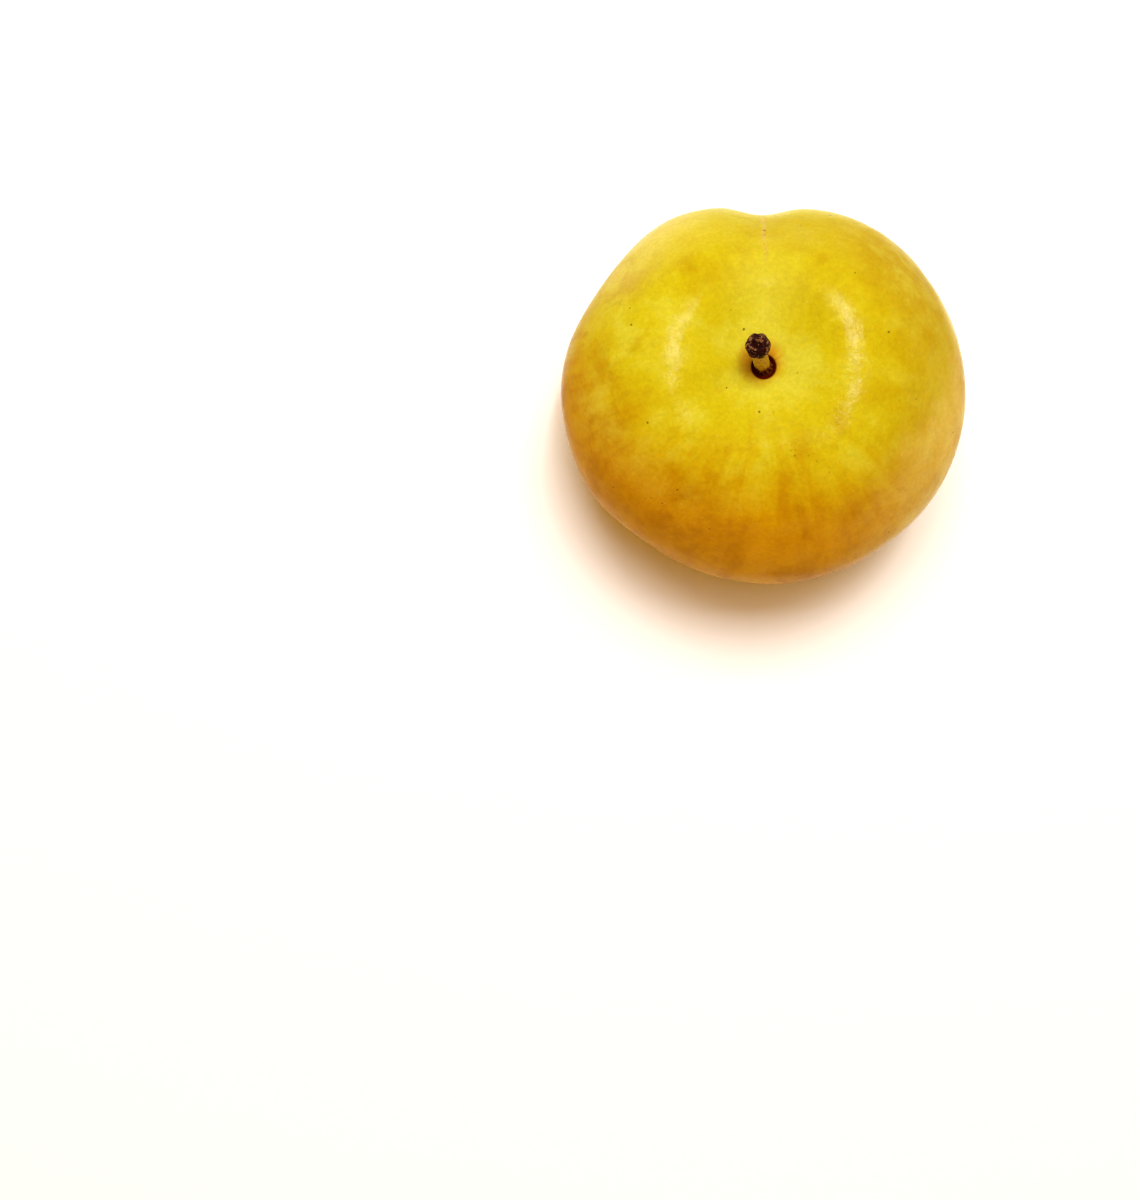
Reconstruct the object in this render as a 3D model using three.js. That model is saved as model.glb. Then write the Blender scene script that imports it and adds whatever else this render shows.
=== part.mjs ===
// A yellow plum, as picked: a fruit standing on its blossom end, and its short stalk in the stalk hole.
// Millimetres, +Z up. The suture faces +Y, and the origin lies under the middle of the fruit, on the
// plane that it rests on.

import * as THREE from 'three';
import { mergeVertices } from 'three/addons/utils/BufferGeometryUtils.js';

// The fruit's plan, seen from above: an ellipse with a few soft flats and bulges. Directions and their
// spreads are in degrees round the stalk, from +X towards the suture.
const HALF_WIDTH = 27;
const HALF_DEPTH = 25.7;
const PLAN_BUMPS = [
  { name: 'left shoulder flat', at: 147, spread: 18, height: -1.1 },
  { name: 'right shoulder flat', at: 55, spread: 18, height: -0.3 },
  { name: 'back left flat', at: 236, spread: 22, height: -0.6 },
  { name: 'back bulge', at: 290, spread: 22, height: 0.3 },
  { name: 'right cheek', at: 335, spread: 26, height: 0.5 },
];

// The fruit's profile. The lower half would end just under the floor, and the floor cuts it flat.
const WIDEST_AT = 24.5;
const HALF_ABOVE = 25.5;
const FLAT_CUT = 0.8;
const HALF_BELOW = WIDEST_AT + FLAT_CUT;
const SHOULDER_FULLNESS = 0.95;
const TAPER_BELOW = 1.03;

// The cavity round the stalk, and the narrow hole that the stalk stands in.
const HOLE_X = -1.3;
const HOLE_Y = 1.3;
const CAVITY_DEPTH = 8.4;
const CAVITY_RADIUS = 9;
const CAVITY_POWER = 1.7;
const HOLE_RADIUS = 1.75;
const HOLE_FLOOR_RADIUS = 1.4;
const HOLE_DEPTH = 2.2;

// A valley comes out of the cavity on either side: the suture, which runs down to the blossom end, and a
// shallow dip opposite, which ends above the widest part. Each begins and is full at a distance from the
// stalk, and fades between two angles from the stalk, in degrees. What is left is a share of its depth.
const VALLEY_BEGINS = 2;
const VALLEY_FULL = 10;
const SUTURE = { depth: 2.6, spread: 7.2, fadesFrom: 95, fadesTo: 165, left: 0.2 };
const BACK_DIP = { depth: 1.7, spread: 8.5, fadesFrom: 30, fadesTo: 75, left: 0 };

// A valley is cut on its own side only. These are sines of the direction round the stalk.
const SIDE_BEGINS = -0.1;
const SIDE_FULL = 0.5;

// The blossom scar, a dimple in the middle of the spot that the fruit rests on.
const SCAR_RADIUS = 1.6;
const SCAR_DEPTH = 0.5;

// The stalk, with the thick corky end where it broke from the twig.
const STALK_LENGTH = 11.8;
const STALK_RADIUS = 1.03;
const STALK_FOOT_RADIUS = 1.12;
const STALK_FOOT_LENGTH = 1.2;
const STALK_END_RADIUS = 1.56;
const STALK_END_LENGTH = 2.7;
const STALK_END_EDGE = 0.6;
const STALK_GAP = 0.35;
const STALK_LEAN_X = -1.85;
const STALK_LEAN_Y = 1.9;
const STALK_BOW_X = -0.2;
const STALK_BOW_Y = -0.1;

// The foot stands a little off the hole's middle.
const STALK_OFF_X = 0.2;
const STALK_OFF_Y = -0.1;

// The cork's lumps, as shares of its radius: five round the end, and three that twist up it.
const CORK_LUMPS = 0.05;
const CORK_TWISTS = 0.03;

// How finely the solids are faceted.
const FRUIT_COLUMNS = 80;
const FRUIT_ROWS = 48;
const ROW_CROWDING = 0.85;
const STALK_SIDES = 24;
const STALK_RINGS = 21;

const SKIN_COLOUR = 0xdfbf22;
const STALK_COLOUR = 0x9a7a3c;

const { cos, sin, sqrt, exp, max, min, hypot, PI } = Math;
const radians = THREE.MathUtils.degToRad;

// 0 below low, 1 above high, and a smooth rise between them.
function rise(low, high, value) {
  const t = min(1, max(0, (value - low) / (high - low)));
  return t * t * (3 - 2 * t);
}

function bell(distance, spread) {
  return exp(-((distance / spread) ** 2));
}

// The smaller angle between two directions.
function apart(a, b) {
  return Math.acos(min(1, max(-1, cos(a - b))));
}

// The fruit's widest radius in one direction round the stalk.
function planRadius(direction) {
  const ellipse =
    (HALF_WIDTH * HALF_DEPTH) /
    hypot(HALF_DEPTH * cos(direction), HALF_WIDTH * sin(direction));
  const bumps = PLAN_BUMPS.map(
    (bump) => bump.height * bell(apart(direction, radians(bump.at)), radians(bump.spread)),
  );
  return bumps.reduce((sum, bump) => sum + bump, ellipse);
}

// How deep one valley is cut into the round form. The side is 1 where the valley's own side is.
function valleyCut(valley, side, across, polar) {
  const faded = rise(radians(valley.fadesFrom), radians(valley.fadesTo), polar);
  const share = 1 - (1 - valley.left) * faded;
  return valley.depth * share * bell(across, valley.spread) * rise(SIDE_BEGINS, SIDE_FULL, side);
}

// How deep the suture and the dip opposite are cut, square to the skin.
function valleysCut(reach, direction, above, polar) {
  const begun = above ? rise(VALLEY_BEGINS, VALLEY_FULL, reach) : 1;
  const across = reach * cos(direction);
  const front = valleyCut(SUTURE, sin(direction), across, polar);
  const back = valleyCut(BACK_DIP, -sin(direction), across, polar);
  return begun * (front + back);
}

// How far the cavity, and the stalk hole in its middle, lower the top.
function cavityCut(fromStalk) {
  const funnel = CAVITY_DEPTH * exp(-((fromStalk / CAVITY_RADIUS) ** CAVITY_POWER));
  const hole = HOLE_DEPTH * (1 - rise(HOLE_FLOOR_RADIUS, HOLE_RADIUS, fromStalk));
  return funnel + hole;
}

// A point of the skin. The polar angle is 0 at the stalk and a half turn at the blossom end.
function skinPoint(polar, direction) {
  const above = cos(polar) > 0;
  const fullness = above ? SHOULDER_FULLNESS : TAPER_BELOW;
  const halfHeight = above ? HALF_ABOVE : HALF_BELOW;
  const radius = planRadius(direction);
  const reach = radius * max(0, sin(polar)) ** fullness;
  const shift = rise(0, 1, max(0, cos(polar)));

  const normal = new THREE.Vector3(
    (sin(polar) * cos(direction)) / radius,
    (sin(polar) * sin(direction)) / radius,
    cos(polar) / halfHeight,
  ).normalize();

  const point = new THREE.Vector3(
    HOLE_X * shift + reach * cos(direction),
    HOLE_Y * shift + reach * sin(direction),
    WIDEST_AT + halfHeight * cos(polar) - (above ? cavityCut(reach) : 0),
  ).addScaledVector(normal, -valleysCut(reach, direction, above, polar));

  const inScar = above ? 0 : 1 - rise(0, SCAR_RADIUS, reach);
  point.z = max(point.z, SCAR_DEPTH * inScar, 0);
  return point;
}

// Rows stand closer together at both ends, where the hole and the scar are small.
function crowdedPolar(polar) {
  return polar - (ROW_CROWDING * sin(2 * polar)) / 2;
}

// The fruit is a sphere whose every point is moved to the skin.
function fruitGeometry() {
  const geometry = new THREE.SphereGeometry(1, FRUIT_COLUMNS, FRUIT_ROWS);
  geometry.rotateX(PI / 2);
  const position = geometry.getAttribute('position');
  for (let i = 0; i < position.count; i += 1) {
    const polar = Math.acos(min(1, max(-1, position.getZ(i))));
    const direction = Math.atan2(position.getY(i), position.getX(i));
    const { x, y, z } = skinPoint(crowdedPolar(polar), direction);
    position.setXYZ(i, x, y, z);
  }
  return closed(geometry);
}

// The stalk's outline, from the middle of its foot up to the middle of its corky end. Each point of its
// side is a radius and a height.
function stalkProfile() {
  const neck = STALK_LENGTH - STALK_END_LENGTH;
  const knob = STALK_LENGTH - STALK_END_LENGTH / 2;
  const side = new THREE.SplineCurve([
    new THREE.Vector2(STALK_FOOT_RADIUS, 0),
    new THREE.Vector2(STALK_FOOT_RADIUS, STALK_FOOT_LENGTH),
    new THREE.Vector2(STALK_RADIUS, neck / 2),
    new THREE.Vector2(STALK_RADIUS, neck - STALK_FOOT_LENGTH),
    new THREE.Vector2(STALK_END_RADIUS * 0.9, neck + STALK_END_EDGE),
    new THREE.Vector2(STALK_END_RADIUS, knob),
    new THREE.Vector2(STALK_END_RADIUS * 0.9, STALK_LENGTH - STALK_END_EDGE),
    new THREE.Vector2(STALK_END_RADIUS * 0.7, STALK_LENGTH - STALK_END_EDGE / 4),
  ]);
  const foot = new THREE.Vector2(0, 0);
  const end = new THREE.Vector2(0, STALK_LENGTH);
  return [foot, ...side.getPoints(STALK_RINGS), end];
}

// How much the cork's lumps widen the stalk at one turn and height.
function corkLump(turn, height) {
  const neck = STALK_LENGTH - STALK_END_LENGTH;
  const share = rise(neck, neck + STALK_END_LENGTH / 2, height);
  return 1 + share * (CORK_LUMPS * sin(5 * turn) + CORK_TWISTS * sin(3 * turn + 2 * height));
}

// The stalk is a turned shape, bent along its own leaning line.
function stalkGeometry() {
  const geometry = new THREE.LatheGeometry(stalkProfile(), STALK_SIDES);
  geometry.rotateX(PI / 2);
  const tip = new THREE.Vector3(STALK_LEAN_X, STALK_LEAN_Y, 0);
  tip.z = sqrt(STALK_LENGTH ** 2 - tip.lengthSq());
  const bow = new THREE.Vector3(STALK_BOW_X, STALK_BOW_Y, 0);
  const middle = tip.clone().multiplyScalar(0.5).add(bow);
  const line = new THREE.QuadraticBezierCurve3(new THREE.Vector3(), middle, tip);

  const up = new THREE.Vector3(0, 0, 1);
  const turned = new THREE.Quaternion();
  const position = geometry.getAttribute('position');
  const point = new THREE.Vector3();
  for (let i = 0; i < position.count; i += 1) {
    point.fromBufferAttribute(position, i);
    const share = min(1, max(0, point.z / STALK_LENGTH));
    const lump = corkLump(Math.atan2(point.y, point.x), point.z);
    turned.setFromUnitVectors(up, line.getTangent(share));
    point.set(point.x * lump, point.y * lump, 0);
    point.applyQuaternion(turned).add(line.getPoint(share));
    position.setXYZ(i, point.x, point.y, point.z);
  }
  return closed(geometry);
}

// One closed surface with shared vertices and fresh normals.
function closed(geometry) {
  geometry.deleteAttribute('normal');
  geometry.deleteAttribute('uv');
  const merged = mergeVertices(geometry);
  merged.computeVertexNormals();
  return merged;
}

function part(name, geometry, colour, roughness) {
  const material = new THREE.MeshStandardMaterial({ color: colour, roughness, metalness: 0 });
  const mesh = new THREE.Mesh(geometry, material);
  mesh.name = name;
  return mesh;
}

const fruit = part('fruit', fruitGeometry(), SKIN_COLOUR, 0.45);
const stalk = part('stalk', stalkGeometry(), STALK_COLOUR, 0.8);
const holeFloor = skinPoint(0, 0).z;
stalk.position.set(HOLE_X + STALK_OFF_X, HOLE_Y + STALK_OFF_Y, holeFloor + STALK_GAP);

// The finished fruit is centred over the origin.
fruit.geometry.computeBoundingBox();
const middleOfFruit = fruit.geometry.boundingBox.getCenter(new THREE.Vector3()).setZ(0);
fruit.position.sub(middleOfFruit);
stalk.position.sub(middleOfFruit);

const plum = new THREE.Group();
plum.add(fruit, stalk);

export default plum;
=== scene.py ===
# A ripe yellow plum with its short stalk, dressed over its CAD solids: fine skin relief, the suture's
# crease and the corky stalk end as geometry, with node materials for the waxed skin and the bark.

import math
from functools import partial
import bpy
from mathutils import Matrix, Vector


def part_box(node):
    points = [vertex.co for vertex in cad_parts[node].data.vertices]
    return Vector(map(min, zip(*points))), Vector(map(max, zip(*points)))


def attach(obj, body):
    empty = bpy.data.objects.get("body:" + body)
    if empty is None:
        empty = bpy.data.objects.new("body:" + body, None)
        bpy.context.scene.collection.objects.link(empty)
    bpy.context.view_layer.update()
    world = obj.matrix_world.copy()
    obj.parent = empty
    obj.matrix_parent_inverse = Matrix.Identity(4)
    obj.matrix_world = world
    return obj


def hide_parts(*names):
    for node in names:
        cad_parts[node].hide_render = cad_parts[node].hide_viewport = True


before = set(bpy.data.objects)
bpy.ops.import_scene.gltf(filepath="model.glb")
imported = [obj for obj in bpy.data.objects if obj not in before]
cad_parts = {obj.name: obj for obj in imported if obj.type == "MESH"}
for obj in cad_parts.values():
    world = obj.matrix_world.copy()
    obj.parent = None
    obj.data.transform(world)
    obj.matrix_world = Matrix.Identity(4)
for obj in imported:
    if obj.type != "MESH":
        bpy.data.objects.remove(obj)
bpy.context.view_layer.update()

from types import SimpleNamespace

import bpy
import numpy as np
from bpy.props import FloatProperty, FloatVectorProperty, IntProperty, PointerProperty
from mathutils import Vector

bl_info = {
    "name": "Yellow plum",
    "version": (1, 0, 0),
    "blender": (4, 5, 0),
    "location": "3D View > Sidebar > Plum",
    "description": "Makes a ripe yellow plum, its stalk and a plain studio",
    "category": "Add Mesh",
}

FRUIT_LOW, FRUIT_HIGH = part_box("fruit")
STALK_LOW, STALK_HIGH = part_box("stalk")
FRUIT_MIDDLE = (FRUIT_LOW + FRUIT_HIGH) / 2
MM = 0.001

# The fruit's plan has soft flats and bulges: direction and spread in degrees, height in millimetres.
PLAN_BUMPS = (
    (147, 18, -1.1),
    (55, 18, -0.3),
    (236, 22, -0.6),
    (290, 22, 0.3),
    (335, 26, 0.5),
)

# The fruit's profile, in millimetres. The floor cuts the lower half flat.
WIDEST_AT = 24.5
HALF_ABOVE = 25.5
HALF_BELOW = 25.3
SHOULDER_FULLNESS = 0.95
TAPER_BELOW = 1.03
HOLE_X = -1.3
HOLE_Y = 1.3
CAVITY_POWER = 1.7
HOLE_FLOOR_SHARE = 0.72
HOLE_DEPTH = 1.1
VALLEYS_BEGIN = (2, 10)
SIDE_BEGINS = (-0.1, 0.5)
SUTURE_FADES_BY = 0.8
SUTURE_FADES = (math.radians(95), math.radians(165))
DIP_FADES = (math.radians(30), math.radians(75))
SCAR_RADIUS = 1.6
SCAR_DEPTH = 0.5

# A distance in millimetres that is beyond every mark, for the points that a mark isn't meant for.
FAR_OFF = 99

# The skin's low relief, in millimetres. Each layer of waves has their length, a seed and a share.
SWELLS = ((17, 3, 1), (7, 5, 0.25), (3, 7, 0.1))
SWELLS_BEGIN = (2, 9)
RIBS = ((0.42, 11, 1), (0.2, 13, 0.6))
RIB_HEIGHT = 0.014
RIBS_BEGIN = (3, 8)
RIBS_END = (12, 22)
GROOVE_ENDS = (13, 22)
CREASE_BEGINS = (10, 17)
LINE_WOBBLE = 0.12
LIP_HEIGHT = 0.09
LIP_OUTSIDE_RIM = 0.35
LIP_WIDTH = 0.4
BROW_HEIGHT = 0.4
BROW_FROM_LINE = 5
BROW_WIDTH = 3

# Where the crease and the brows begin and end on the way down from the stalk, in radians.
CREASE_ENDS = (2.5, 3.0)
BROWS_BEGIN = (0.9, 1.5)
BROWS_END = (2, 2.8)

# Where the fruit's faces stand closer together, in radians: a middle, a spread and how much closer.
DIRECTION_CROWDS = ((math.pi / 2, 0.045, 5), (math.pi / 2, 0.3, 0.6))
POLAR_CROWDS = ((0.06, 0.05, 9), (0.35, 0.3, 0.9), (math.pi, 0.06, 8))
CROWD_STEPS = 4001

# The stalk's form, in millimetres. The rings that aren't on its side lie on its end.
RINGS_ON_SIDE = 0.85
FOOT_FLARE = 2.5
NECK_SWELLS = (-0.6, 0.9)
CORK_BEGINS = (-0.4, 0.5)
END_SHOULDER = 1.1
END_ROUNDING = 0.4
END_HOLLOW = 0.35
HOLLOW_SPANS = (0.1, 0.9)
SMALLEST_RING = 0.015
CRAGS_STAND_UP_FROM = 0.3
CRAGS = ((1.3, 23, 0.6), (0.5, 29, 0.4))
CRAG_LIMIT = 1.4
FIBRES = ((0.6, 31, 1),)
FIBRE_STRETCH = 14
FIBRE_HEIGHT = 0.035

# How the stalk leans, in millimetres: its foot and tip, from where they would touch the sides of the
# solid stalk's box, and how far its middle bows to the side.
FOOT_SHIFT = (0.25, -0.05)
TIP_SHIFT = (-0.1, 0.05)
BOW = (-0.3, -0.1, 0)

# Marks on the skin, in millimetres: the middle, the radius, and how far out they fade.
TANNED_SPOTS = (((17, 15, 36), 3, 11), ((23, -6, 29), 2, 9), ((-17, 13, 37), 1, 6))
FILM_SPOTS = (((-16, 18.5, 32), 4, 10), ((23, 9.5, 30), 2, 5))
RIPE_CHEEK = ((23, -2, 29), 4, 9)
# The pale crest spot is a painted highlight at the top of the suture's side.
PAINTED_CREST_HIGHLIGHT = ((-1.5, 12, 42), 1, 7)
BAKED_SPOT = ((-12.5, -17, 38), 2, 8)

# How large the patterns on the skin are. The streaks are counted round the fruit instead.
CLOUDS = 9 * MM
PATCHES = 6 * MM
RUBBED_PLACES = 4 * MM
FINE_CLOUDS = 3 * MM
SPECKS_APART = 2 * MM
DOTS_APART = 1.9 * MM
CRUMBS = 0.9 * MM
WAX_GRAINS = 0.9 * MM
FLECKS_APART = 0.7 * MM
TICKS = 0.6 * MM
FLESH_THREADS = 0.55 * MM
PORES = 0.22 * MM
STREAKS = 5.5
FINE_STREAKS = 16
STREAK_STRETCH = 0.22

# The same for the stalk and the card, and how high the finest relief of each stands.
BLOTCHES = 0.8 * MM
CRACKS = 0.7 * MM
GRIT = 0.25 * MM
CARD_GRAIN = 1.5 * MM
CARD_FIBRES = (0.85, 0.85, 0.86)
SKIN_BUMP = 0.042 * MM
BARK_BUMP = 0.05 * MM
CARD_BUMP = 0.01 * MM
GLOW_DEPTH = 2.2 * MM

# The studio, in metres. The last two say how steeply a direction points up, from 0 to 1.
FLOOR_SIZE = 1.5
WINDOW_SIZE = (0.56, 0.44)
WINDOW_PLACE = (0.0, 0.36, 1.25)
STRIP_SIZE = (0.03, 0.3)
STRIP_PLACE = (0.02, 0.09, 0.8)
WALLS_UP_TO = 0.12
ROOM_LIGHT_FROM = 0.3

# The photograph's own frame and the place of the fruit in it, in pixels, and the lens that it needs.
PHOTO_WIDTH = 1140
PHOTO_HEIGHT = 1200
FRUIT_PIXEL = (761.5, 399)
FRUIT_PIXELS_WIDE = 402
CAMERA_ABOVE_WIDEST = 265 * MM
SENSOR = 36


def linear(hex_colour):
    """The linear red, green and blue of an sRGB hex colour."""
    channels = [int(hex_colour[i:i + 2], 16) / 255 for i in (1, 3, 5)]
    return tuple(
        c / 12.92 if c <= 0.04045 else ((c + 0.055) / 1.055) ** 2.4 for c in channels
    )


def length(label, about, millimetres):
    """A size that a user can change."""
    return FloatProperty(
        name=label, description=about, default=millimetres * MM, min=0, unit="LENGTH", precision=5
    )


def colour(label, about, hex_colour):
    """A colour that a user can change."""
    return FloatVectorProperty(
        name=label, description=about, default=linear(hex_colour), size=3, min=0, max=1,
        subtype="COLOR",
    )


class FruitSettings(bpy.types.PropertyGroup):
    """The fruit's sizes and colours."""

    half_width: length("Half width", "From the core out to a cheek", 27)
    half_depth: length("Half depth", "From the core out to the suture side", 25.7)
    cavity_depth: length("Cavity depth", "How far the stalk cavity lowers the top", 8.4)
    cavity_radius: length("Cavity radius", "How wide the stalk cavity is", 9)
    hole_radius: length("Hole radius", "The rim of the hole that the stalk stands in", 1.62)
    suture_depth: length("Suture depth", "Depth of the valley between the cheeks", 2.6)
    suture_spread: length("Suture spread", "Half width of the valley between the cheeks", 7.2)
    dip_depth: length("Back dip depth", "Depth of the dip opposite the suture", 1.7)
    dip_spread: length("Back dip spread", "Half width of the dip opposite the suture", 8.5)
    groove_depth: length("Back groove depth", "Depth of the fine groove down the dip", 0.22)
    groove_width: length("Back groove width", "Half width of the fine groove", 2.2)
    crease_depth: length("Crease depth", "The fine line along the suture", 0.16)
    crease_width: length("Crease width", "Half width of the fine line", 0.28)
    uneven: length("Unevenness", "How far the skin swells and sinks over its soft flesh", 0.08)
    columns: IntProperty(
        name="Columns", description="Faces round the fruit", default=470, min=24
    )
    rows: IntProperty(
        name="Rows", description="Faces from the stalk to the blossom end", default=205, min=24
    )
    yellow: colour("Yellow", "The skin's ground colour", "#C6B91A")
    # Pale yellow also paints a highlight on the crest of the suture's side.
    pale: colour("Pale yellow", "Thin clouds in the ground colour", "#CFCA46")
    gold: colour("Gold", "Deep clouds in the ground colour", "#B3940A")
    # The ripe orange also paints shade on the side away from the light and towards -X.
    ripe: colour("Ripe", "The ripest, orange skin", "#C89200")
    russet: colour("Russet", "Deep clouds in the ripest skin", "#A87000")
    # The bloom colour also paints rim light along the rims of the +X cheek and the suture's side.
    bloom_and_rim_light: colour("Bloom", "The wax film where it isn't rubbed off", "#EADC80")
    tan: colour("Suture line", "The pale corky line in the suture", "#D6B468")
    brown: colour("Brown", "Specks, scuffs and the scar", "#5E3A0C")
    # The stain colour is partly painted shade round the stalk hole.
    stain_and_shade: colour("Stain", "The halo round the stalk hole", "#C06C04")
    rust: colour("Rust", "The dark ring round the stalk's foot", "#6E1E0C")


class StalkSettings(bpy.types.PropertyGroup):
    """The stalk's sizes and colours."""

    length: length("Length", "From the foot to the corky end", 11.8)
    radius: length("Radius", "The shaft's radius", 1.0)
    foot_radius: length("Foot radius", "The radius at the foot", 1.2)
    end_radius: length("End radius", "The corky end's radius", 1.5)
    end_length: length("End length", "How much of the stalk is corky", 2.3)
    lumps: length("Lumps", "Height of the cork's lumps", 0.08)
    sides: IntProperty(name="Sides", description="Faces round the stalk", default=128, min=8)
    rings: IntProperty(name="Rings", description="Faces along the stalk", default=240, min=16)
    shaft: colour("Shaft", "The green wood of the shaft", "#D8B448")
    fibre: colour("Fibre", "Darker fibres along the shaft", "#8A6420")
    cork: colour("Cork", "The hollows of the corky end", "#2A0804")
    # The crust colour also paints glints on the corky end's high spots.
    crust_and_glints: colour("Crust", "The worn high spots of the corky end", "#B8865C")
    foot: colour("Foot", "The reddish foot of the stalk", "#6A1E10")


class StudioSettings(bpy.types.PropertyGroup):
    """The lights' and the floor's settings."""

    window_power: FloatProperty(
        name="Window power", description="Power of the large soft light", default=11.0, min=0,
        unit="POWER",
    )
    strip_power: FloatProperty(
        name="Strip power", description="Power of the narrow light overhead", default=1.5, min=0,
        unit="POWER",
    )
    sky: FloatProperty(
        name="Sky", description="Strength of the even light all round", default=0.33, min=0
    )
    sky_colour: colour("Sky colour", "The warm room light that fills the shade", "#FFBC3C")
    wall: colour("Wall", "The pale walls round the floor", "#F2EEE6")
    window_colour: colour("Window colour", "The large light's colour", "#FFFFFF")
    floor: colour("Floor", "The floor's colour", "#FCFCFE")


def rise(low, high, value):
    """0 below low, 1 above high, and a smooth rise between them."""
    t = np.clip((value - low) / (high - low), 0, 1)
    return t * t * (3 - 2 * t)


def bell(distance, spread):
    """1 at no distance, and less the further away."""
    return np.exp(-((distance / spread) ** 2))


def crowded(count, low, high, crowds):
    """Steps from low to high that stand closer near the middle of each crowd."""
    line = np.linspace(low, high, CROWD_STEPS)
    density = 1 + sum(much * bell(line - middle, spread) for middle, spread, much in crowds)
    passed = np.concatenate([[0], np.cumsum((density[1:] + density[:-1]) / 2)])
    return np.interp(np.arange(count) / count * passed[-1], passed, line)


def waves(points, wavelength, seed, count=24):
    """A smooth uneven value for each point, about -1 to 1, from waves in many directions."""
    rng = np.random.default_rng(seed)
    total = np.zeros(points.shape[:-1])
    for _ in range(count):
        way = rng.normal(size=points.shape[-1])
        way *= 2 * math.pi / wavelength / np.linalg.norm(way) * rng.uniform(0.6, 1.4)
        total += np.cos(points @ way + rng.uniform(0, 2 * math.pi))
    return total / math.sqrt(count / 2)


def layered(points, layers):
    """Waves in several layers, each with the length of its waves, its seed and its share."""
    return sum(share * waves(points, wavelength, seed) for wavelength, seed, share in layers)


def plan_radius(direction, half_width, half_depth):
    """The fruit's widest radius in each direction round the stalk; the suture is at a quarter turn."""
    ellipse = half_width * half_depth / np.hypot(
        half_depth * np.cos(direction), half_width * np.sin(direction)
    )
    for at, spread, height in PLAN_BUMPS:
        apart = np.arccos(np.clip(np.cos(direction - math.radians(at)), -1, 1))
        ellipse = ellipse + height * bell(apart, math.radians(spread))
    return ellipse


def valleys_cut(settings, reach, direction, polar):
    """How deep the suture and the dip opposite are cut, square to the skin."""
    begun = np.where(np.cos(polar) > 0, rise(*VALLEYS_BEGIN, reach), 1)
    across = reach * np.cos(direction)
    suture_left = 1 - SUTURE_FADES_BY * rise(*SUTURE_FADES, polar)
    dip_left = 1 - rise(*DIP_FADES, polar)
    suture = settings.suture_depth / MM * suture_left * bell(across, settings.suture_spread / MM)
    dip = settings.dip_depth / MM * dip_left * bell(across, settings.dip_spread / MM)
    suture_side = rise(*SIDE_BEGINS, np.sin(direction))
    dip_side = rise(*SIDE_BEGINS, -np.sin(direction))
    return begun * (suture * suture_side + dip * dip_side)


def cavity_cut(settings, from_stalk):
    """How far the cavity, and the stalk hole in its middle, lower the top."""
    share = (from_stalk / (settings.cavity_radius / MM)) ** CAVITY_POWER
    funnel = settings.cavity_depth / MM * np.exp(-share)
    rim = settings.hole_radius / MM
    hole = HOLE_DEPTH * (1 - rise(rim * HOLE_FLOOR_SHARE, rim, from_stalk))
    return funnel + hole


def round_form(settings, polar, direction):
    """The fruit's form in millimetres: its points, their outward directions and their reach."""
    above = np.cos(polar) > 0
    half_height = np.where(above, HALF_ABOVE, HALF_BELOW)
    radius = plan_radius(direction, settings.half_width / MM, settings.half_depth / MM)
    fullness = np.where(above, SHOULDER_FULLNESS, TAPER_BELOW)
    reach = radius * np.maximum(np.sin(polar), 0) ** fullness
    shift = rise(0, 1, np.maximum(0, np.cos(polar)))
    normal = np.stack([
        np.sin(polar) * np.cos(direction) / radius,
        np.sin(polar) * np.sin(direction) / radius,
        np.cos(polar) / half_height,
    ], axis=-1)
    normal /= np.linalg.norm(normal, axis=-1, keepdims=True)
    point = np.stack([
        HOLE_X * shift + reach * np.cos(direction),
        HOLE_Y * shift + reach * np.sin(direction),
        WIDEST_AT + half_height * np.cos(polar) - np.where(above, cavity_cut(settings, reach), 0),
    ], axis=-1)
    point -= normal * valleys_cut(settings, reach, direction, polar)[..., None]
    return point, normal, reach


def skin_relief(settings, point, polar, direction, reach):
    """How far the skin stands off the plain form: swellings, ribs out of the cavity, the crease in
    the suture and the brows beside it, the groove at the back and the lip of the stalk hole. Gives
    also the distance from the middle of the suture."""
    above = np.cos(polar) > 0
    swell = layered(point, SWELLS)
    swell *= settings.uneven / MM * rise(*SWELLS_BEGIN, np.where(above, reach, FAR_OFF))
    turn = np.stack([np.cos(direction), np.sin(direction), polar / 3], axis=-1)
    ribs = layered(turn, RIBS)
    ribs *= RIB_HEIGHT * rise(*RIBS_BEGIN, reach) * (1 - rise(*RIBS_END, reach)) * above
    wobble = LINE_WOBBLE * waves(point[..., 2:3], 6, 17, 8)
    across = reach * np.cos(direction) - wobble
    suture_side = np.sin(direction) > 0
    seen = rise(*CREASE_BEGINS, np.where(above, reach, FAR_OFF)) * (1 - rise(*CREASE_ENDS, polar))
    patchy = 0.65 + 0.35 * waves(point[..., 2:3], 2.6, 19, 8)
    crease = settings.crease_depth / MM * bell(across, settings.crease_width / MM) * patchy
    groove = settings.groove_depth / MM * bell(across, settings.groove_width / MM)
    groove *= rise(*RIBS_BEGIN, reach) * (1 - rise(*GROOVE_ENDS, reach))
    groove *= above * ~suture_side
    from_rim = reach - settings.hole_radius / MM
    lip = LIP_HEIGHT * bell(from_rim - LIP_OUTSIDE_RIM, LIP_WIDTH) * above
    brow = BROW_HEIGHT * bell(np.abs(across) - BROW_FROM_LINE, BROW_WIDTH)
    brow *= rise(*BROWS_BEGIN, polar) * (1 - rise(*BROWS_END, polar))
    relief = swell + ribs - crease * seen * suture_side - groove + lip + brow * suture_side
    return relief, across


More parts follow.
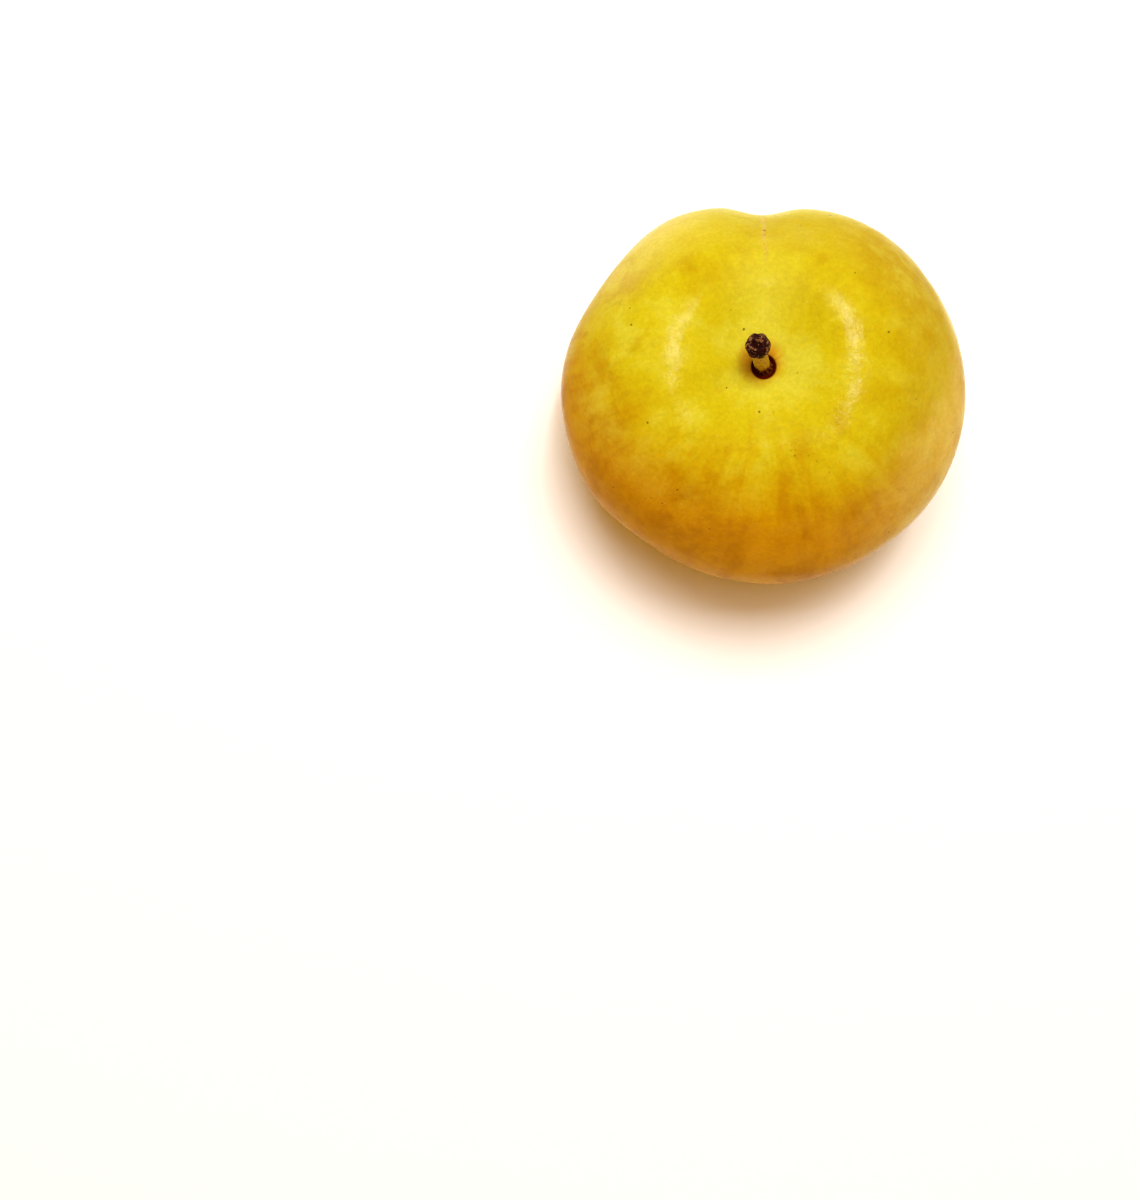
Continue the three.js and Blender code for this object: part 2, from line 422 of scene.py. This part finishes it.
def stalk_outline(settings):
    """Each ring's radius and height in millimetres from the foot to the middle of the end, and how
    far in on the end it lies."""
    whole, neck = settings.length / MM, (settings.length - settings.end_length) / MM
    foot, shaft, end = settings.foot_radius / MM, settings.radius / MM, settings.end_radius / MM
    share = np.arange(settings.rings) / (settings.rings - 1)
    height = np.minimum(share / RINGS_ON_SIDE, 1) * whole
    radius = shaft + (foot - shaft) * (1 - rise(0, FOOT_FLARE, height))
    radius = radius + (end - shaft) * rise(*NECK_SWELLS, height - neck)
    over_shoulder = np.clip((height - whole + END_SHOULDER) / END_SHOULDER, 0, 1)
    radius = radius * (1 - END_ROUNDING * (1 - np.sqrt(1 - over_shoulder ** 2)))
    inwards = np.clip((share - RINGS_ON_SIDE) / (1 - RINGS_ON_SIDE), 0, 1 - SMALLEST_RING)
    return radius * (1 - inwards), height - END_HOLLOW * rise(*HOLLOW_SPANS, inwards), inwards


def leaning(settings, straight):
    """The points of an upright stalk, bent in a soft bow so that it leans from the hole to its tip."""
    whole, foot, end = settings.length / MM, settings.foot_radius / MM, settings.end_radius / MM
    low, high = Vector(STALK_LOW) / MM, Vector(STALK_HIGH) / MM
    root = np.array([high.x - foot + FOOT_SHIFT[0], low.y + foot + FOOT_SHIFT[1], low.z])
    tip_flat = np.array([low.x + end + TIP_SHIFT[0], high.y - end + TIP_SHIFT[1]]) - root[:2]
    tip = np.array([*tip_flat, math.sqrt(whole ** 2 - tip_flat @ tip_flat)])
    middle = tip / 2 + np.array(BOW)
    share = np.clip(straight[:, 2:3] / whole, 0, 1)
    core = 2 * share * (1 - share) * middle + share * share * tip
    along = 2 * (1 - share) * middle + 2 * share * (tip - middle)
    along /= np.linalg.norm(along, axis=1, keepdims=True)
    side_x = np.cross([0, 1, 0], along)
    side_x /= np.linalg.norm(side_x, axis=1, keepdims=True)
    side_y = np.cross(along, side_x)
    over = straight[:, 2:3] - share * whole
    return root + core + straight[:, :1] * side_x + straight[:, 1:2] * side_y + along * over


def mesh_object(name, points, faces, attributes):
    """A smooth mesh object from points in millimetres, with a named vector on every point."""
    mesh = bpy.data.meshes.new(name)
    mesh.from_pydata((points * MM).tolist(), [], faces)
    for title, values in attributes.items():
        layer = mesh.attributes.new(title, "FLOAT_VECTOR", "POINT")
        layer.data.foreach_set("vector", np.asarray(values, np.float32).ravel())
    mesh.shade_smooth()
    mesh.update()
    made = bpy.data.objects.new(name, mesh)
    bpy.context.scene.collection.objects.link(made)
    return made


def capped_tube_faces(rings, sides):
    """Quads between rings of points, with a fan of triangles at each end's middle point."""
    last = 1 + rings * sides
    low = last - sides
    faces = []
    for side in range(sides):
        after = (side + 1) % sides
        faces.append((0, 1 + side, 1 + after))
        faces.append((last, low + after, low + side))
        for a in range(1, low, sides):
            b = a + sides
            faces.append((a + side, b + side, b + after, a + after))
    return faces


# The kinds of node that the materials are made of: Blender's name, the node's own settings, the inputs
# that add fills in order, and the output that it hands back. The three marks are on the meshes.
NODES = {
    "place": ("ShaderNodeTexCoord", {}, (), "Object"),
    "way": ("ShaderNodeTexCoord", {}, (), "Generated"),
    "skin_place": ("ShaderNodeAttribute", {"attribute_name": "skin_place"}, (), "Vector"),
    "skin_marks": ("ShaderNodeAttribute", {"attribute_name": "skin_marks"}, (), "Vector"),
    "stalk_marks": ("ShaderNodeAttribute", {"attribute_name": "stalk_marks"}, (), "Vector"),
    "split": ("ShaderNodeSeparateXYZ", {}, (0,), 0),
    "join": ("ShaderNodeCombineXYZ", {}, (0, 1, 2), 0),
    "distance": ("ShaderNodeVectorMath", {"operation": "DISTANCE"}, (0, 1), "Value"),
    "noise": ("ShaderNodeTexNoise", {}, ("Vector", "Scale", "Detail", "Roughness", "Distortion"), 0),
    "cells": ("ShaderNodeTexVoronoi", {}, ("Vector", "Scale"), "Distance"),
    "rise": ("ShaderNodeMapRange", {"interpolation_type": "SMOOTHSTEP"}, (0, 1, 2, 3, 4), 0),
    "mix": ("ShaderNodeMix", {"data_type": "RGBA"}, (0, 6, 7), 2),
    "tint": ("ShaderNodeMix", {"data_type": "RGBA", "blend_type": "MULTIPLY"}, (0, 6, 7), 2),
    "bump": ("ShaderNodeBump", {}, ("Height", "Distance", "Strength"), 0),
    "surface": ("ShaderNodeBsdfPrincipled", {}, ("Base Color", "Normal", "Coat Normal"), 0),
    "output": ("ShaderNodeOutputMaterial", {}, ("Surface",), None),
}


def add(tree, kind, *values, **named):
    """Adds a node, fills its inputs with numbers, colours or other outputs, and gives its output. Any
    kind that isn't in NODES is a sum, such as ADD, of one or two values."""
    unlisted = ("ShaderNodeMath", {"operation": kind}, (0, 1), 0)
    blender_name, node_settings, slots, output = NODES.get(kind, unlisted)
    made = tree.nodes.new(blender_name)
    for name, value in node_settings.items():
        setattr(made, name, value)
    inputs = dict(zip(slots, values))
    inputs.update({name.replace("_", " "): value for name, value in named.items()})
    for slot, value in inputs.items():
        socket = made.inputs[slot]
        if isinstance(value, bpy.types.NodeSocket):
            tree.links.new(value, socket)
        elif socket.type == "RGBA":
            socket.default_value = (*value, 1)
        else:
            socket.default_value = value
    return made if output is None else made.outputs[output]


def empty_material(name):
    """A new material without nodes, and add made ready for it."""
    material = bpy.data.materials.new(name)
    material.use_nodes = True
    material.node_tree.nodes.clear()
    return material, partial(add, material.node_tree)


def give_surface(put, ground, relief, height, **surface):
    """Ends a material: its colour, its fine relief and how high that stands, and how it reflects."""
    bump = put("bump", relief, height, 1)
    put("output", put("surface", ground, bump, bump, **surface))


def near(put, place, middle, radius, fade):
    """1 within a radius round a middle, all in millimetres, fading out over the fade."""
    distance = put("distance", place, [part * MM for part in middle])
    return put("rise", distance, radius * MM, (radius + fade) * MM, 1, 0)


def near_any(put, place, spots):
    """How near a point is to several spots, added up."""
    total = near(put, place, *spots[0])
    for spot in spots[1:]:
        total = put("ADD", total, near(put, place, *spot))
    return total


def sway(put, pattern, whole):
    """A shift to either side, from a pattern that runs from 0 to 1: it makes an edge ragged."""
    return put("MULTIPLY", put("SUBTRACT", pattern, 0.5), whole)


def read_skin(put, settings):
    """What the skin's looks share: where a point is, in metres, its direction round the stalk as
    turn_x and turn_y, its way down from the stalk as polar, in radians, its distances from the line,
    the stalk and the scar, in millimetres, and uneven patterns that run from 0 to 1."""
    skin = SimpleNamespace(put=put, settings=settings, place=put("place"))
    skin.x, skin.y, _ = put("split", skin.place).node.outputs
    skin.turn_x, skin.turn_y, skin.polar = put("split", put("skin_place")).node.outputs
    skin.across, skin.from_stalk, skin.from_scar = put("split", put("skin_marks")).node.outputs
    skin.clouds = put("noise", skin.place, 1 / CLOUDS, 4, 0.6, 0.3)
    skin.fine_clouds = put("noise", skin.place, 1 / FINE_CLOUDS, 4, 0.6, 0.4)
    skin.patches = put("noise", skin.place, 1 / PATCHES, 5, 0.66, 0.3)
    skin.rubbed = put("noise", skin.place, 1 / RUBBED_PLACES, 4, 0.55, 0)
    skin.crumbs = put("noise", skin.place, 1 / CRUMBS, 3, 0.7, 0)
    around = put("join", skin.turn_x, skin.turn_y, put("MULTIPLY", skin.polar, STREAK_STRETCH))
    skin.streaks = put("noise", around, STREAKS, 4, 0.6, 0.2)
    fine_streaks = put("noise", around, FINE_STREAKS, 3, 0.6, 0)
    skin.streak = put("ADD", put("MULTIPLY", skin.streaks, 0.6), put("MULTIPLY", fine_streaks, 0.4))
    return skin


def yellow_ground(skin):
    """Unripe to golden yellow in soft clouds and patches, with faint streaks out of the cavity. It is
    deeper in the tanned spots and on the cheek towards +X."""
    put, settings = skin.put, skin.settings
    fading = put("rise", skin.from_stalk, 26, 14, 0.5, 1)
    streaky = put("MULTIPLY", put("rise", skin.from_stalk, 3, 9), fading)
    mottle = put("ADD", put("MULTIPLY", skin.clouds, 0.55), put("MULTIPLY", skin.fine_clouds, 0.25))
    mottle = put("ADD", mottle, put("MULTIPLY", put("MULTIPLY", skin.streak, streaky), 0.3))
    ground = put("mix", put("rise", mottle, 0.55, 0.36, 0, 0.8), settings.yellow, settings.pale)
    clear = put("rise", skin.from_stalk, 6, 16, 0.3, 1)
    golden = put("MULTIPLY", put("rise", mottle, 0.5, 0.72, 0, 0.55), clear)
    ground = put("mix", golden, ground, settings.gold)
    tanned = near_any(put, skin.place, TANNED_SPOTS)
    tanned = put("MULTIPLY", tanned, put("rise", skin.fine_clouds, 0.38, 0.6))
    ground = put("mix", put("MULTIPLY", tanned, 0.85), ground, settings.gold)
    patch = put("MULTIPLY", put("rise", skin.patches, 0.51, 0.67, 0, 0.5), clear)
    ground = put("mix", patch, ground, settings.gold)
    toward_plus_x = put("ADD", skin.x, sway(put, skin.clouds, 16 * MM))
    return put("mix", put("rise", toward_plus_x, 7 * MM, 20 * MM, 0, 0.6), ground, settings.gold)


def find_ripe_and_shaded_side(skin):
    """How ripe the skin is, with painted shade in the same orange: most on the side away from the
    suture and from the light, towards the rim and on one cheek, and more towards -X. The suture's
    side stays behind."""
    put = skin.put
    # Painted shade: the ripe orange darkens the side away from the light, and the side towards -X.
    lean = put("ADD", put("MULTIPLY", skin.y, -1.0), put("MULTIPLY", skin.x, -0.22))
    lean = put("ADD", lean, sway(put, skin.clouds, 9 * MM))
    lean = put("ADD", lean, sway(put, skin.streak, 16 * MM))
    outward = put("rise", skin.polar, 0.25, math.pi / 2, 0, 24.6 * MM)
    cheek = put("MULTIPLY", near(put, skin.place, *RIPE_CHEEK), 8 * MM)
    ripeness = put("ADD", put("ADD", lean, outward), cheek)
    ripeness = put("ADD", ripeness, put("rise", skin.polar, 1.75, 2.7, 0, -16 * MM))
    skin.ripeness = put("rise", ripeness, 4 * MM, 36 * MM)
    skin.suture_side = put("rise", lean, -8 * MM, -24 * MM)


def ripe_flush_shade_and_highlight(skin, ground):
    """Orange skin with russet clouds on the ripe side, partly painted shade, and paler skin on the
    suture's side, with a painted highlight on its crest and a golden belt over its two lobes."""
    put, settings = skin.put, skin.settings
    paler = put("MULTIPLY", skin.suture_side, put("rise", skin.x, 3 * MM, 14 * MM, 0.7, 0.18))
    paler = put("MULTIPLY", paler, put("rise", skin.polar, 0.9, 1.3, 0.35, 1))
    # Painted highlight: a pale spot on the crest of the suture's side.
    crest_highlight = put("MULTIPLY", near(put, skin.place, *PAINTED_CREST_HIGHLIGHT), 0.6)
    ground = put("mix", put("ADD", paler, crest_highlight), ground, settings.pale)
    lobes = put("MULTIPLY", put("rise", skin.polar, 0.5, 0.75), put("rise", skin.polar, 1.3, 1.0))
    lobes = put("MULTIPLY", lobes, skin.suture_side)
    lobes = put("MULTIPLY", lobes, put("rise", skin.x, -12 * MM, 8 * MM, 0.25, 0.5))
    ground = put("mix", lobes, ground, settings.gold)
    # The ripe orange is partly painted shade.
    ground = put("mix", skin.ripeness, ground, settings.ripe)
    deep = put("ADD", put("MULTIPLY", skin.patches, 0.5), put("MULTIPLY", skin.streak, 0.5))
    deep = put("MULTIPLY", put("rise", deep, 0.42, 0.64, 0, 0.65), skin.ripeness)
    baked = put("rise", skin.patches, 0.4, 0.6, 0.1, 0.75)
    baked = put("MULTIPLY", near(put, skin.place, *BAKED_SPOT), baked)
    return put("mix", put("MAXIMUM", deep, baked), ground, settings.russet)


def wax_film(skin, ground):
    """The pale film of wax in two spots, and painted rim light in its colour along the rim of the
    +X cheek and along the rim of the suture's side, all rubbed thin in places."""
    put = skin.put
    # Painted rim light along the rim of the +X cheek, towards -Y.
    painted_cheek_rim_light = put("ADD", put("MULTIPLY", skin.x, 0.9), put("MULTIPLY", skin.y, -0.45))
    painted_cheek_rim_light = put("ADD", painted_cheek_rim_light, sway(put, skin.clouds, 14 * MM))
    painted_cheek_rim_light = put("rise", painted_cheek_rim_light, 16 * MM, 27 * MM)
    painted_cheek_rim_light = put("MULTIPLY", painted_cheek_rim_light, put("rise", skin.polar, 2.5, 1.7, 0.4, 1))
    film = put("ADD", near_any(put, skin.place, FILM_SPOTS), painted_cheek_rim_light)
    # Painted rim light along the rim of the suture's side.
    painted_suture_rim_light = put("rise", skin.polar, 1.0, 1.45, 0, 0.7)
    painted_suture_rim_light = put("MULTIPLY", painted_suture_rim_light, put("rise", skin.polar, 2.3, 1.6, 0.3, 1))
    film = put("ADD", film, put("MULTIPLY", skin.suture_side, painted_suture_rim_light))
    skin.film = put("MULTIPLY", film, put("rise", skin.rubbed, 0.2, 0.75, 0.45, 1))
    return put("mix", put("MULTIPLY", skin.film, 0.62), ground, skin.settings.bloom_and_rim_light)


def dots_and_specks(skin, ground):
    """Faint pale dots all over, a few dark specks, and brown flecks where the wax is rubbed off."""
    put, settings = skin.put, skin.settings
    dot = put("rise", put("cells", skin.place, 1 / DOTS_APART), 0.05, 0.11, 0.12, 0)
    ground = put("mix", dot, ground, settings.bloom_and_rim_light)
    specks = put("cells", skin.place, 1 / SPECKS_APART)
    chance = put("split", specks.node.outputs["Color"])
    speck = put("LESS_THAN", specks, put("MULTIPLY", put("rise", chance, 0.6, 1.0), 0.09))
    ground = put("mix", put("MULTIPLY", speck, 0.7), ground, settings.brown)
    flecks = put("cells", skin.place, 1 / FLECKS_APART)
    chance = put("split", flecks.node.outputs["Color"]).node.outputs[1]
    fleck = put("LESS_THAN", flecks, put("MULTIPLY", put("rise", chance, 0.6, 1.0), 0.22))
    fleck = put("MULTIPLY", fleck, put("rise", skin.rubbed, 0.6, 0.68, 0, 0.45))
    return put("mix", fleck, ground, settings.brown)


def suture_line(skin, ground):
    """The thin pale line in the suture, broken here and there, with small brown ticks in it."""
    put, settings = skin.put, skin.settings
    width = put("ADD", put("ABSOLUTE", skin.across), put("MULTIPLY", skin.crumbs, 0.7))
    along = put("rise", skin.from_stalk, 13, 18)
    along = put("MULTIPLY", along, put("rise", skin.polar, 2.95, 1.6, 0.5, 1))
    along = put("MULTIPLY", along, put("rise", skin.fine_clouds, 0.3, 0.6, 0.4, 1))
    line = put("MULTIPLY", put("rise", width, 0.4, 0.85, 0.56, 0), along)
    ground = put("mix", line, ground, settings.tan)
    ticks = put("rise", put("noise", skin.place, 1 / TICKS, 2, 0.5, 0), 0.6, 0.68)
    return put("mix", put("MULTIPLY", ticks, line), ground, settings.brown)


def stain_shade_and_scar(skin, ground):
    """A darker orange halo round the stalk's foot, wider under the leaning knob: partly stain and
    partly painted shade of the stalk and its knob. Also the corky blossom scar.
    """
    put, settings = skin.put, skin.settings
    aside = put("SUBTRACT", put("MULTIPLY", skin.turn_x, 0.4), put("MULTIPLY", skin.turn_y, 0.7))
    # Painted shade: the halo darkens the skin round the stalk hole, widest under the leaning knob.
    halo = put("rise", put("ADD", skin.from_stalk, aside), 1.4, 3.6, 1, 0)
    halo = put("MULTIPLY", halo, put("rise", skin.streaks, 0.2, 0.7, 0.4, 0.7))
    ground = put("mix", halo, ground, settings.stain_and_shade)
    ground = put("mix", put("rise", skin.from_stalk, 1.5, 1.75, 1, 0), ground, settings.rust)
    scar = put("ADD", skin.from_scar, put("MULTIPLY", skin.crumbs, 0.5))
    return put("mix", put("rise", scar, 0.7, 1.1, 0.9, 0), ground, settings.brown)


def wax_shine(skin):
    """How much the wax shines: less under the film and the painted rim light, on the ripe and shaded
    skin, where it was handled beside the stalk, and on the cheek towards -X."""
    put = skin.put
    handled = put("rise", put("ABSOLUTE", skin.turn_y), 0.45, 0.85)
    handled = put("MULTIPLY", handled, put("rise", skin.from_stalk, 20, 12))
    dull = put("ADD", put("MULTIPLY", skin.film, 0.2), put("MULTIPLY", handled, 0.9))
    dull = put("ADD", dull, put("MULTIPLY", skin.ripeness, 0.3))
    dull = put("ADD", dull, put("rise", skin.turn_x, 0.2, -0.8, 0, 0.35))
    patchy = put("rise", skin.fine_clouds, 0.35, 0.65, 0.095, 0.04)
    return put("MULTIPLY", put("rise", dull, 0, 1, 1, 0.2), patchy)


def wax_relief(skin):
    """The skin's finest relief, which breaks up its highlights. Real pores are too fine to show, so
    they are drawn coarser, at 0.22 mm, among grains of wax at 0.9 mm."""
    put = skin.put
    pores = put("noise", skin.place, 1 / PORES, 2, 0.5, 0)
    grains = put("noise", skin.place, 1 / WAX_GRAINS, 3, 0.6, 0.3)
    relief = put("ADD", put("MULTIPLY", pores, 0.35), put("MULTIPLY", grains, 1.7))
    return put("ADD", relief, put("MULTIPLY", skin.fine_clouds, 0.8))


def waxed_plum_skin(settings):
    """Thin skin over wet yellow flesh, under a film of natural wax: light glows through it, and the
    wax gives it a soft satin shine that is duller and paler where the film is whole."""
    material, put = empty_material("waxed_plum_skin")
    skin = read_skin(put, settings)
    find_ripe_and_shaded_side(skin)
    ground = ripe_flush_shade_and_highlight(skin, yellow_ground(skin))
    for look in (wax_film, dots_and_specks, suture_line, stain_shade_and_scar):
        ground = look(skin, ground)
    threads = put("noise", skin.place, 1 / FLESH_THREADS, 3, 0.65, 0.5)
    ground = put("tint", 1, ground, put("rise", threads, 0.3, 0.7, 0.93, 1.05))
    # Fruit skin's IOR is about 1.4. Here the coat carries all of the wax's shine, so the skin below it
    # has next to no reflection of its own.
    give_surface(
        put, ground, wax_relief(skin), SKIN_BUMP, Roughness=0.13, IOR=1.032,
        Coat_Weight=wax_shine(skin), Coat_Roughness=0.21, Coat_IOR=2.0, Subsurface_Weight=0.35,
        Subsurface_Scale=GLOW_DEPTH, Subsurface_Radius=(1.0, 0.55, 0.12),
    )
    return material


def stalk_bark(settings):
    """Young green wood turning to dry brown cork at the end where it broke off: matt and rough, with
    its high spots paler, partly worn and partly painted glints."""
    material, put = empty_material("stalk_bark")
    place = put("place")
    along, height, turn = put("split", put("stalk_marks")).node.outputs
    stretched = put("join", put("MULTIPLY", along, 6), put("SINE", turn), put("COSINE", turn))
    fibres = put("noise", stretched, 4.5, 5, 0.7, 0.3)
    blotches = put("noise", place, 1 / BLOTCHES, 4, 0.65, 0.5)
    grit = put("noise", place, 1 / GRIT, 4, 0.7, 0.3)
    cracks = put("ABSOLUTE", put("SUBTRACT", put("noise", place, 1 / CRACKS, 4, 0.7, 0.8), 0.5))

    wood = put("mix", put("rise", fibres, 0.42, 0.7), settings.shaft, settings.fibre)
    wood = put("mix", put("rise", blotches, 0.6, 0.72, 0, 0.6), wood, settings.fibre)
    # Painted glints: the cork's high spots turn paler, partly as wear.
    worn_and_glints = put("rise", put("ADD", height, put("MULTIPLY", grit, 0.5)), 1.0, 1.35, 0, 0.45)
    flake = put("MULTIPLY", put("rise", cracks, 0.035, 0.01), put("rise", blotches, 0.45, 0.6))
    cork = put("mix", put("MAXIMUM", worn_and_glints, flake), settings.cork, settings.crust_and_glints)
    edge = put("ADD", along, sway(put, blotches, 0.06))
    ground = put("mix", put("rise", edge, 0.765, 0.79), wood, cork)
    foot = put("MULTIPLY", put("rise", edge, 0.34, 0.24), put("rise", grit, 0.62, 0.5))
    ground = put("mix", foot, ground, settings.foot)
    relief = put("ADD", fibres, grit)
    give_surface(put, ground, relief, BARK_BUMP, Roughness=0.6, IOR=1.3, Specular_IOR_Level=0.2)
    return material


def matt_card(settings):
    """White card: evenly matt, so that it shows only the soft shadow."""
    material, put = empty_material("matt_card")
    grain = put("noise", put("place"), 1 / CARD_GRAIN, 2, 0.5, 0)
    ground = put("mix", put("rise", grain, 0.3, 0.7, 0, 0.05), settings.floor, CARD_FIBRES)
    give_surface(put, ground, grain, CARD_BUMP, Roughness=0.9, IOR=1.4)
    return material


class PLUM_OT_fruit(bpy.types.Operator):
    """Makes the fruit: skin with its cavity, suture and blossom scar"""

    bl_idname = "plum.fruit"
    bl_label = "Fruit"

    def execute(self, context):
        settings = context.scene.plum_fruit
        columns, rows = settings.columns, settings.rows
        direction = crowded(columns, 0, 2 * math.pi, DIRECTION_CROWDS)
        polar = crowded(rows, 0, math.pi, POLAR_CROWDS)[1:]
        polars, directions = np.meshgrid(polar, direction, indexing="ij")
        polars = np.concatenate([[0.0], polars.ravel(), [math.pi]])
        directions = np.concatenate([[0.0], directions.ravel(), [0.0]])

        form, normal, reach = round_form(settings, polars, directions)
        relief, across = skin_relief(settings, form, polars, directions, reach)
        points = form + normal * relief[:, None]
        below = np.cos(polars) < 0
        in_scar = np.where(below, 1 - rise(0, SCAR_RADIUS, reach), 0)
        points[:, 2] = np.maximum(points[:, 2], SCAR_DEPTH * in_scar)

        low, high = form.min(0), form.max(0)
        points[:, :2] -= (low + high)[:2] / 2
        points[:, :2] += np.array(FRUIT_MIDDLE)[:2] / MM
        from_line = np.where(np.sin(directions) > 0, across, FAR_OFF)
        from_stalk = np.where(below, FAR_OFF, reach)
        from_scar = np.where(below, reach, FAR_OFF)
        made = mesh_object("plum_fruit", points, capped_tube_faces(rows - 1, columns), {
            "skin_place": np.stack([np.cos(directions), np.sin(directions), polars], axis=-1),
            "skin_marks": np.stack([from_line, from_stalk, from_scar], axis=-1),
        })
        made.data.materials.append(waxed_plum_skin(settings))
        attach(made, "root")
        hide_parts("fruit")
        return {"FINISHED"}


class PLUM_OT_stalk(bpy.types.Operator):
    """Makes the stalk: a bent shaft with a swollen corky end"""

    bl_idname = "plum.stalk"
    bl_label = "Stalk"

    def execute(self, context):
        settings = context.scene.plum_stalk
        sides, rings = settings.sides, settings.rings
        whole, neck = settings.length / MM, (settings.length - settings.end_length) / MM
        radius, height, inwards = stalk_outline(settings)
        turn = np.arange(sides) / sides * 2 * math.pi
        heights, turns = np.meshgrid(height, turn, indexing="ij")
        radii = np.repeat(radius[:, None], sides, axis=1)
        heights = np.concatenate([[0.0], heights.ravel(), [height[-1]]])
        turns = np.concatenate([[0.0], turns.ravel(), [0.0]])
        radii = np.concatenate([[0.0], radii.ravel(), [0.0]])
        outward = np.stack([np.cos(turns), np.sin(turns), 0 * turns], axis=-1)
        straight = radii[:, None] * outward + heights[:, None] * np.array([0, 0, 1])

        corky = rise(*CORK_BEGINS, heights - neck)
        crags = np.clip(layered(straight, CRAGS), -CRAG_LIMIT, CRAG_LIMIT)
        round_and_up = np.stack([np.cos(turns), np.sin(turns), heights / FIBRE_STRETCH], axis=-1)
        fibres = layered(round_and_up, FIBRES) * FIBRE_HEIGHT
        off = crags * settings.lumps / MM * corky + fibres * (1 - corky)
        on_top = (inwards > CRAGS_STAND_UP_FROM)[:, None] * np.ones(sides, bool)
        outward[np.concatenate([[False], on_top.ravel(), [True]])] = (0, 0, 1)
        straight += outward * np.where(radii > 0, off, 0)[:, None]
        points = leaning(settings, straight)

        made = mesh_object("plum_stalk", points, capped_tube_faces(rings, sides), {
            "stalk_marks": np.stack([heights / whole, 0.5 + crags / 2, turns], axis=-1),
        })
        made.data.materials.append(stalk_bark(settings))
        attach(made, "root")
        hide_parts("stalk")
        return {"FINISHED"}


def soft_light(name, power, tint, size, place):
    """A rectangular soft light at a place, turned to face the plum."""
    lamp = bpy.data.lights.new(name, "AREA")
    lamp.shape = "RECTANGLE"
    lamp.size, lamp.size_y = size
    lamp.energy = power
    lamp.color = tint
    made = bpy.data.objects.new(name, lamp)
    made.location = place
    made.rotation_euler = (-Vector(place)).to_track_quat("-Z", "Y").to_euler()
    bpy.context.scene.collection.objects.link(made)


class PLUM_OT_stage(bpy.types.Operator):
    """Makes the plain floor, the soft lights and the camera at the photograph's place"""

    bl_idname = "plum.stage"
    bl_label = "Stage"

    def execute(self, context):
        settings = context.scene.plum_studio
        bpy.ops.mesh.primitive_plane_add(size=FLOOR_SIZE)
        floor = context.object
        floor.name = "floor"
        floor.data.materials.append(matt_card(settings))

        world = bpy.data.worlds.new("even_light")
        world.use_nodes = True
        put = partial(add, world.node_tree)
        height = put("split", put("way")).node.outputs[2]
        overhead = [channel * settings.sky for channel in settings.sky_colour]
        glow = put("mix", put("rise", height, WALLS_UP_TO, ROOM_LIGHT_FROM), settings.wall, overhead)
        world.node_tree.links.new(glow, world.node_tree.nodes["Background"].inputs["Color"])
        context.scene.world = world
        tint = settings.window_colour
        soft_light("window", settings.window_power, tint, WINDOW_SIZE, WINDOW_PLACE)
        soft_light("strip", settings.strip_power, tint, STRIP_SIZE, STRIP_PLACE)

        context.scene.view_settings.view_transform = "Standard"
        context.scene.view_settings.look = "Medium High Contrast"
        camera_data = bpy.data.cameras.new("camera")
        camera_data.sensor_width = SENSOR
        camera = bpy.data.objects.new("camera", camera_data)
        context.scene.collection.objects.link(camera)
        per_pixel = (FRUIT_HIGH.x - FRUIT_LOW.x) / FRUIT_PIXELS_WIDE
        camera.location = (
            FRUIT_MIDDLE.x - (FRUIT_PIXEL[0] - PHOTO_WIDTH / 2) * per_pixel,
            FRUIT_MIDDLE.y + (FRUIT_PIXEL[1] - PHOTO_HEIGHT / 2) * per_pixel,
            WIDEST_AT * MM + CAMERA_ABOVE_WIDEST,
        )
        camera_data.lens = CAMERA_ABOVE_WIDEST / (PHOTO_HEIGHT * per_pixel) * SENSOR
        camera_data.clip_start = 0.01
        context.scene.camera = camera
        return {"FINISHED"}


class PLUM_PT_sidebar(bpy.types.Panel):
    """The plum's panel in the 3D view's sidebar"""

    bl_label = "Yellow plum"
    bl_space_type = "VIEW_3D"
    bl_region_type = "UI"
    bl_category = "Plum"

    def draw(self, context):
        for operator in OPERATORS:
            self.layout.operator(operator.bl_idname)


SETTINGS = {
    "plum_fruit": FruitSettings,
    "plum_stalk": StalkSettings,
    "plum_studio": StudioSettings,
}
OPERATORS = (PLUM_OT_fruit, PLUM_OT_stalk, PLUM_OT_stage)


def register():
    for made in (*SETTINGS.values(), *OPERATORS, PLUM_PT_sidebar):
        bpy.utils.register_class(made)
    for name, kind in SETTINGS.items():
        setattr(bpy.types.Scene, name, PointerProperty(type=kind))


def unregister():
    for name in SETTINGS:
        delattr(bpy.types.Scene, name)
    for made in (PLUM_PT_sidebar, *OPERATORS, *SETTINGS.values()):
        bpy.utils.unregister_class(made)


def main():
    register()
    bpy.ops.plum.fruit()
    bpy.ops.plum.stalk()
    bpy.ops.plum.stage()


if __name__ == "__main__":
    main()
